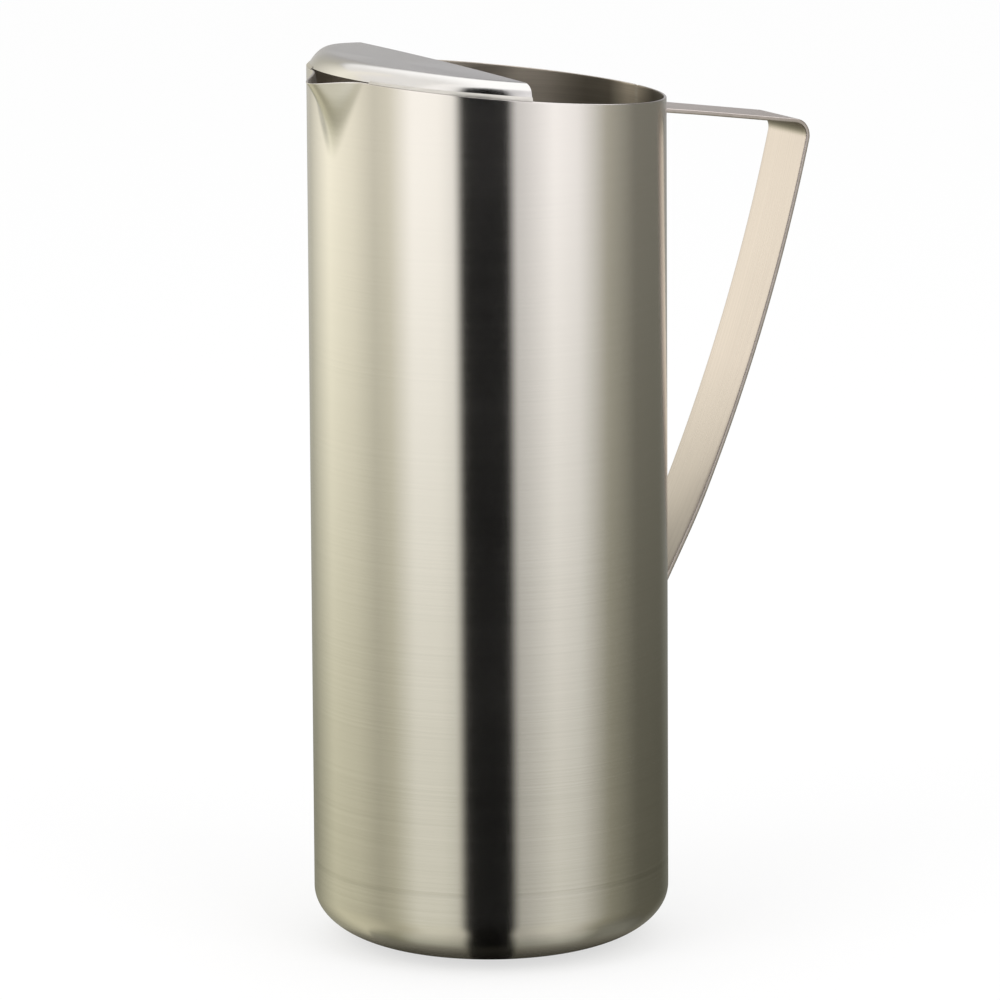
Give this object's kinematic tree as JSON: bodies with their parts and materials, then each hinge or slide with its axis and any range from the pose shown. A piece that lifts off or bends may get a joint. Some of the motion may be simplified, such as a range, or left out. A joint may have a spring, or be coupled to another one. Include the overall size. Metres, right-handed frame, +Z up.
{
  "type": "water pitcher",
  "caption": "Tall straight-sided single-wall steel water pitcher with a slanted rim, a pressed V spout under an ice guard plate, and a bent flat strap handle.",
  "frame": {"origin": "centre of the flat underside of the base, on the body's axis", "axes": "+Z up along the body's axis, spout towards -X, handle towards +X"},
  "size_m": [0.1668, 0.105, 0.2662],
  "materials": {
    "body_steel": "brushed round the body",
    "guard_steel": "fine satin",
    "handle_steel": "brushed along the strap",
    "weld_steel": "dressed and brushed weld"
  },
  "bodies": {
    "root": {"body_tube": "body_steel", "base_cup": "body_steel", "side_seam": "weld_steel", "base_seam": "weld_steel", "ice_guard": "guard_steel", "guard_seam_near": "weld_steel", "guard_seam_far": "weld_steel", "handle_strap": "handle_steel", "handle_top_weld": "weld_steel", "handle_lower_weld": "weld_steel"}
  },
  "joints": []
}
